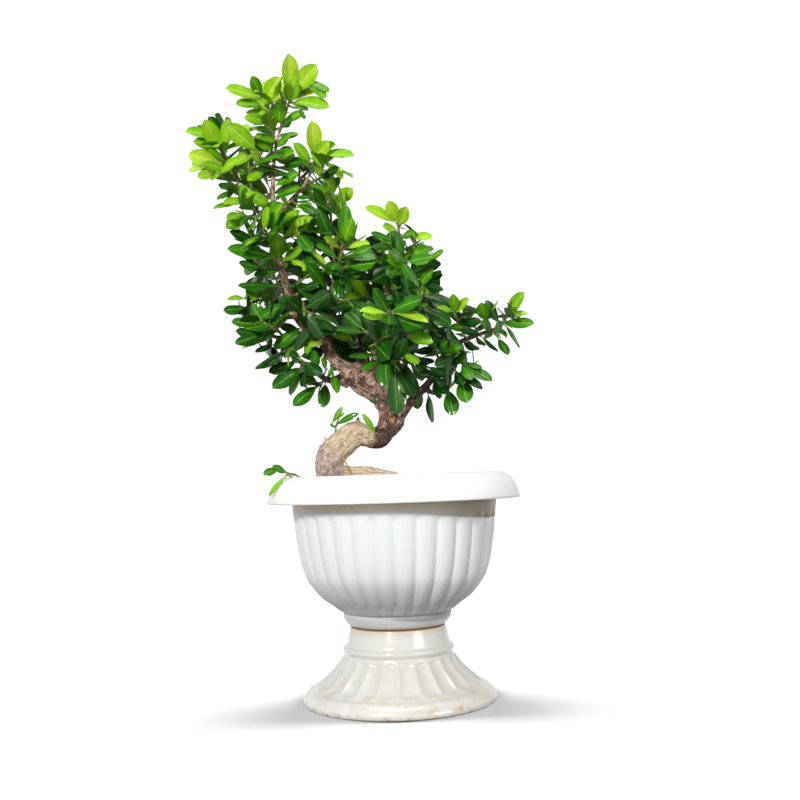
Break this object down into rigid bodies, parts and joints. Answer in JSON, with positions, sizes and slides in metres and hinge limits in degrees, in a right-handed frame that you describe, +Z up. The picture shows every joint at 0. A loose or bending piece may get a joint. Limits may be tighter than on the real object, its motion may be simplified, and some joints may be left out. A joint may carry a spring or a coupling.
{
  "type": "ficus ginseng bonsai in a pedestal urn",
  "caption": "Small evergreen ficus bonsai with an S-shaped trunk and glossy oval leaves, in a white fluted plastic pedestal urn with a rolled rim.",
  "frame": {"origin": "middle of the whole part's box on the plane that the foot stands on", "axes": "+Z up along the pot's axis, -Y towards the viewer, with the crown leaning towards -X"},
  "size_m": [0.4528, 0.32, 0.8255],
  "materials": {
    "bowl_plastic": "moulded white plastic, satin gloss",
    "foot_plastic": "moulded cream-white plastic, glossy",
    "soil": "rough, crumbly potting soil",
    "bark": "matte bark, tan low down and dark brown above",
    "leaves": "waxy, glossy above and paler below"
  },
  "bodies": {
    "root": {"pot_bowl": "bowl_plastic", "pot_foot": "foot_plastic", "soil": "soil", "trunk": "bark", "shoot_top": "leaves", "shoot_top_left": "leaves", "shoot_top_back": "leaves", "shoot_crest_left": "leaves", "shoot_crest_low": "leaves", "shoot_crest_front": "leaves", "shoot_crest_back": "leaves", "shoot_fork_tip": "leaves", "shoot_fork_right": "leaves", "shoot_fork_back": "leaves", "shoot_upper_back": "leaves", "shoot_upper_left": "leaves", "shoot_mid_left": "leaves", "shoot_mid_front": "leaves", "shoot_mid_right": "leaves", "shoot_mid_low_left": "leaves", "shoot_low_left": "leaves", "shoot_low_right": "leaves", "shoot_side_tip": "leaves", "shoot_side_low": "leaves", "shoot_side_front": "leaves", "shoot_side_under": "leaves", "shoot_under_tip": "leaves", "shoot_under_hang": "leaves", "shoot_front_left": "leaves", "shoot_middle_tip": "leaves", "shoot_middle_fork": "leaves", "shoot_middle_right": "leaves", "shoot_middle_front": "leaves", "shoot_middle_back": "leaves", "shoot_middle_low": "leaves", "shoot_low_back": "leaves", "shoot_right_tip": "leaves", "shoot_right_side": "leaves", "shoot_right_front": "leaves", "shoot_right_out": "leaves", "shoot_right_back": "leaves", "shoot_right_low": "leaves", "shoot_right_low_back": "leaves", "shoot_front_right": "leaves", "shoot_front_tip": "leaves", "shoot_front_mid": "leaves", "shoot_front_low": "leaves", "shoot_back_low": "leaves", "shoot_arm_tip": "leaves", "shoot_arm_up": "leaves", "shoot_arm_mid": "leaves", "shoot_arm_under": "leaves", "shoot_arm_front": "leaves", "shoot_low_tip": "leaves", "shoot_low_mid": "leaves", "shoot_back_tip": "leaves", "shoot_back_left": "leaves", "shoot_back_right": "leaves", "shoot_knuckle": "leaves", "shoot_over_rim": "leaves"}
  },
  "joints": []
}
